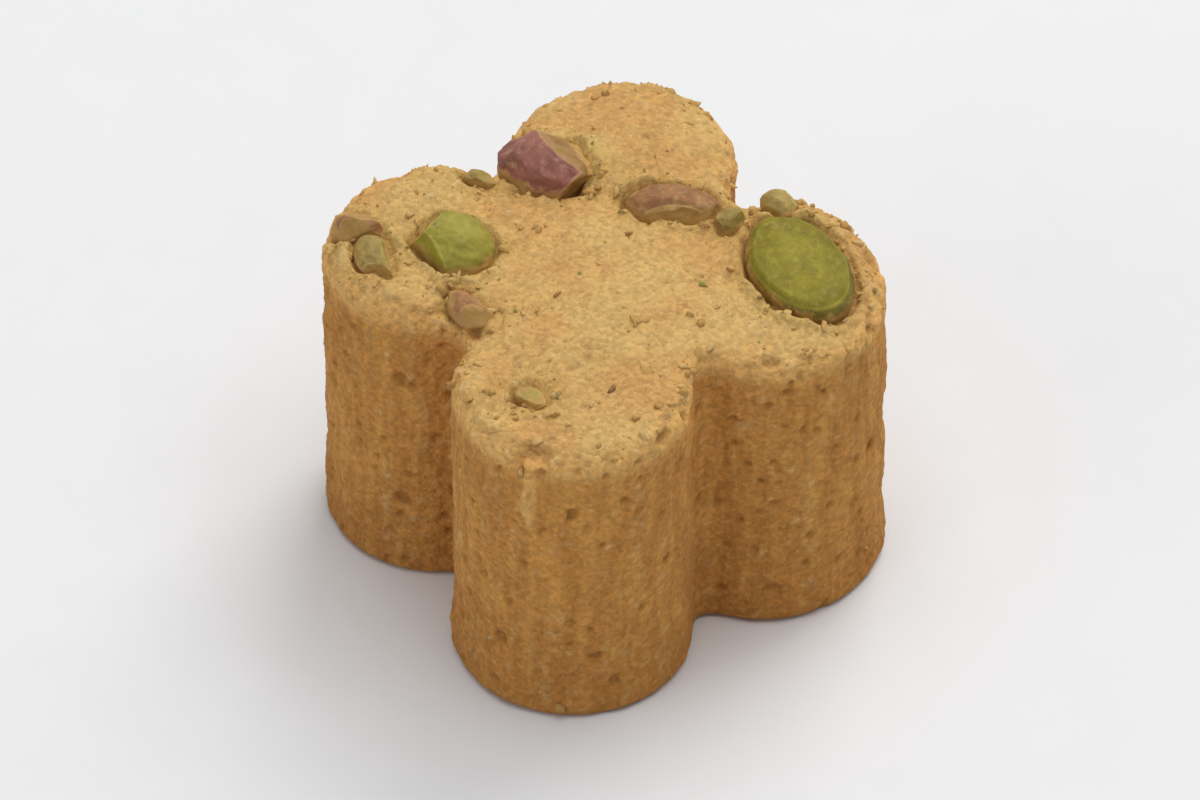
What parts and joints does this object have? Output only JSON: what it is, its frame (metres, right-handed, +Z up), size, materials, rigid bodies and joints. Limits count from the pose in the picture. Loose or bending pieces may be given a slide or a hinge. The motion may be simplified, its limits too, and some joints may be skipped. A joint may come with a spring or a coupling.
{
  "type": "chickpea cookie",
  "caption": "Small thick clover-shaped chickpea flour cookie with straight cut sides, a flat base and chopped pistachio pressed into its top.",
  "frame": {"origin": "middle of the bounding box's underside, on the plane that the cookie's flat base rests on", "axes": "+Z up out of the nut-covered top; X and Y square to the flats of the clover, with the four lobes on the diagonals"},
  "size_m": [0.02, 0.02, 0.0164],
  "materials": {
    "dough": "matte",
    "pistachio_green": "matte",
    "pistachio_skin": "matte",
    "crumb": "matte"
  },
  "bodies": {
    "root": {"cookie": "dough"}
  },
  "joints": []
}
